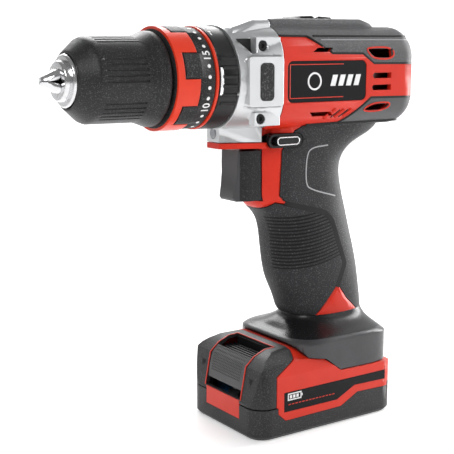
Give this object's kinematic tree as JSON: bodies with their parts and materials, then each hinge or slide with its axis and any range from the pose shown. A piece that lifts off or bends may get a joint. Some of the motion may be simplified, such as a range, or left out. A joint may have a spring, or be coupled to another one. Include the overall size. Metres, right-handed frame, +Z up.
{
  "type": "cordless drill",
  "caption": "Pistol-grip cordless drill with keyless chuck, torque and mode collars, trigger, speed selector and a slide-on battery foot it stands on.",
  "frame": {"origin": "centre of the battery's flat base", "axes": "+Z up through the handle, -X towards the chuck, -Y the drill's left side"},
  "size_m": [0.1952, 0.059, 0.1999],
  "materials": {
    "red_shell": "glass-filled nylon, fine spark grain",
    "grey_skin": "soft elastomer, grained",
    "dark_skin": "soft elastomer, grained and grooved",
    "silver_case": "silver lacquer, satin",
    "black_plastic": "moulded, fine grain",
    "black_rubber": "coarse grain",
    "black_chuck": "fine grain",
    "red_trim": "satin",
    "black_screw": "black oxide",
    "lens": "clear lens",
    "fan_plastic": "natural nylon",
    "steel": "ground",
    "carbon": "pressed graphite",
    "copper": "enamelled copper",
    "foot_black": "gloss black",
    "pack_black": "fine grain",
    "pack_red": "satin",
    "cell_wrap": "shrink film"
  },
  "bodies": {
    "drill": {"housing_left": "red_shell", "housing_right": "red_shell", "top_cover_left": "grey_skin", "top_cover_right": "grey_skin", "rear_strap_left": "dark_skin", "rear_strap_right": "dark_skin", "front_grip_left": "dark_skin", "front_grip_right": "dark_skin", "gear_case": "silver_case", "badges": "black_plastic", "switch_body": "black_plastic", "side_pads": "black_rubber", "housing_screws": "black_screw", "work_lamp": "lens", "accent_ring": "red_trim", "clutch_washer": "steel", "clutch_spring": "steel", "ring_gear_2": "steel", "spindle_bearing": "steel", "hammer_ratchet_fixed": "steel", "motor_can": "steel", "motor_end_bell": "black_plastic", "carbon_brushes": "carbon", "terminal_block": "black_plastic", "trigger_spring": "steel", "foot": "foot_black"},
    "spindle": {"spindle": "steel", "carrier_2": "steel", "chuck_body": "steel", "chuck_screw": "black_screw"},
    "first_carrier": {"carrier_1": "steel"},
    "rotor": {"motor_shaft": "steel", "armature": "copper", "cooling_fan": "fan_plastic"},
    "sleeve": {"chuck_sleeve": "black_chuck", "chuck_nut": "steel"},
    "collar": {"torque_collar": "black_plastic", "torque_collar_band": "red_trim"},
    "clutch_ring": {"clutch_nut": "steel"},
    "mode": {"mode_ring": "black_plastic"},
    "speed": {"speed_selector": "black_plastic", "ring_gear_1": "steel"},
    "direction": {"direction_button": "black_plastic"},
    "trigger_lever": {"trigger": "black_plastic"},
    "battery": {"pack_base": "pack_black", "pack_top": "pack_red", "pack_front_cap": "pack_black", "pack_screws": "black_screw", "battery_cells": "cell_wrap", "latch_spring": "steel"},
    "release": {"release_button": "black_plastic"},
    "planet_one_a": {"planet_1a": "steel"},
    "planet_two_a": {"planet_2a": "steel"},
    "jaw_body_a": {"jaw_a": "steel"},
    "planet_one_b": {"planet_1b": "steel"},
    "planet_two_b": {"planet_2b": "steel"},
    "jaw_body_b": {"jaw_b": "steel"},
    "planet_one_c": {"planet_1c": "steel"},
    "planet_two_c": {"planet_2c": "steel"},
    "jaw_body_c": {"jaw_c": "steel"}
  },
  "joints": [
    {"name": "spindle_spin", "type": "hinge", "parent": "drill", "child": "spindle", "pos_m": [-0.09, 0, 0.1713], "axis": [1, 0, 0], "continuous": true},
    {"name": "first_carrier_spin", "type": "hinge", "parent": "drill", "child": "first_carrier", "pos_m": [-0.03, 0, 0.1713], "axis": [1, 0, 0], "continuous": true},
    {"name": "rotor_spin", "type": "hinge", "parent": "drill", "child": "rotor", "pos_m": [0.02, 0, 0.1713], "axis": [1, 0, 0], "continuous": true},
    {"name": "planet_two_a_spin", "type": "hinge", "parent": "spindle", "child": "planet_two_a", "pos_m": [-0.0477, 0, 0.1788], "axis": [1, 0, 0], "continuous": true},
    {"name": "planet_one_a_spin", "type": "hinge", "parent": "first_carrier", "child": "planet_one_a", "pos_m": [-0.0097, 0, 0.1788], "axis": [1, 0, 0], "continuous": true},
    {"name": "planet_two_b_spin", "type": "hinge", "parent": "spindle", "child": "planet_two_b", "pos_m": [-0.0477, -0.0065, 0.16755], "axis": [1, 0, 0], "continuous": true},
    {"name": "planet_one_b_spin", "type": "hinge", "parent": "first_carrier", "child": "planet_one_b", "pos_m": [-0.0097, -0.0065, 0.16755], "axis": [1, 0, 0], "continuous": true},
    {"name": "planet_two_c_spin", "type": "hinge", "parent": "spindle", "child": "planet_two_c", "pos_m": [-0.0477, 0.0065, 0.16755], "axis": [1, 0, 0], "continuous": true},
    {"name": "planet_one_c_spin", "type": "hinge", "parent": "first_carrier", "child": "planet_one_c", "pos_m": [-0.0097, 0.0065, 0.16755], "axis": [1, 0, 0], "continuous": true},
    {"name": "sleeve_turn", "type": "hinge", "parent": "spindle", "child": "sleeve", "pos_m": [-0.1067, 0, 0.1713], "axis": [1, 0, 0], "range_deg": [0, 2880]},
    {"name": "jaw_a_slide", "type": "slide", "parent": "spindle", "child": "jaw_body_a", "axis": [0.9659, -0.1294, 0.2241], "range_m": [0, 0.01901]},
    {"name": "jaw_b_slide", "type": "slide", "parent": "spindle", "child": "jaw_body_b", "axis": [0.9659, -0.1294, -0.2241], "range_m": [0, 0.01901]},
    {"name": "jaw_c_slide", "type": "slide", "parent": "spindle", "child": "jaw_body_c", "axis": [0.9659, 0.2588, 0], "range_m": [0, 0.01901]},
    {"name": "torque_turn", "type": "hinge", "parent": "drill", "child": "collar", "pos_m": [-0.0753, 0, 0.1713], "axis": [1, 0, 0], "range_deg": [-144, 96]},
    {"name": "clutch_nut_slide", "type": "slide", "parent": "drill", "child": "clutch_ring", "axis": [1, 0, 0], "range_m": [-0.00192, 0.00128], "deforming": ["clutch_spring"]},
    {"name": "mode_turn", "type": "hinge", "parent": "drill", "child": "mode", "pos_m": [-0.0586, 0, 0.1713], "axis": [1, 0, 0], "range_deg": [-36, 36]},
    {"name": "speed_slide", "type": "slide", "parent": "drill", "child": "speed", "axis": [-1, 0, 0], "range_m": [0, 0.0046]},
    {"name": "direction_slide", "type": "slide", "parent": "drill", "child": "direction", "axis": [0, 1, 0], "range_m": [-0.0025, 0.0025]},
    {"name": "trigger_pull", "type": "slide", "parent": "drill", "child": "trigger_lever", "axis": [1, 0, 0], "range_m": [0, 0.0065], "stiffness_N_per_m": 1200, "springref_m": -0.004, "deforming": ["trigger_spring"]},
    {"name": "battery_slide", "type": "slide", "parent": "drill", "child": "battery", "axis": [-1, 0, 0], "range_m": [0, 0.095]},
    {"name": "release_press", "type": "slide", "parent": "battery", "child": "release", "axis": [0, 0, -1], "range_m": [0, 0.003], "stiffness_N_per_m": 900, "springref_m": -0.003, "deforming": ["latch_spring"]}
  ],
  "couplings": [
    {"joint": "first_carrier_spin", "follows": "spindle_spin", "ratio": 5},
    {"joint": "rotor_spin", "follows": "spindle_spin", "ratio": 25},
    {"joint": "planet_two_a_spin", "follows": "spindle_spin", "ratio": -2.6667},
    {"joint": "planet_one_a_spin", "follows": "spindle_spin", "ratio": -13.333},
    {"joint": "planet_two_b_spin", "follows": "spindle_spin", "ratio": -2.6667},
    {"joint": "planet_one_b_spin", "follows": "spindle_spin", "ratio": -13.333},
    {"joint": "planet_two_c_spin", "follows": "spindle_spin", "ratio": -2.6667},
    {"joint": "planet_one_c_spin", "follows": "spindle_spin", "ratio": -13.333},
    {"joint": "jaw_a_slide", "follows": "sleeve_turn", "m_per_rad": 0.00037799},
    {"joint": "jaw_b_slide", "follows": "sleeve_turn", "m_per_rad": 0.00037799},
    {"joint": "jaw_c_slide", "follows": "sleeve_turn", "m_per_rad": 0.00037799},
    {"joint": "clutch_nut_slide", "follows": "torque_turn", "m_per_rad": 0.00076}
  ]
}
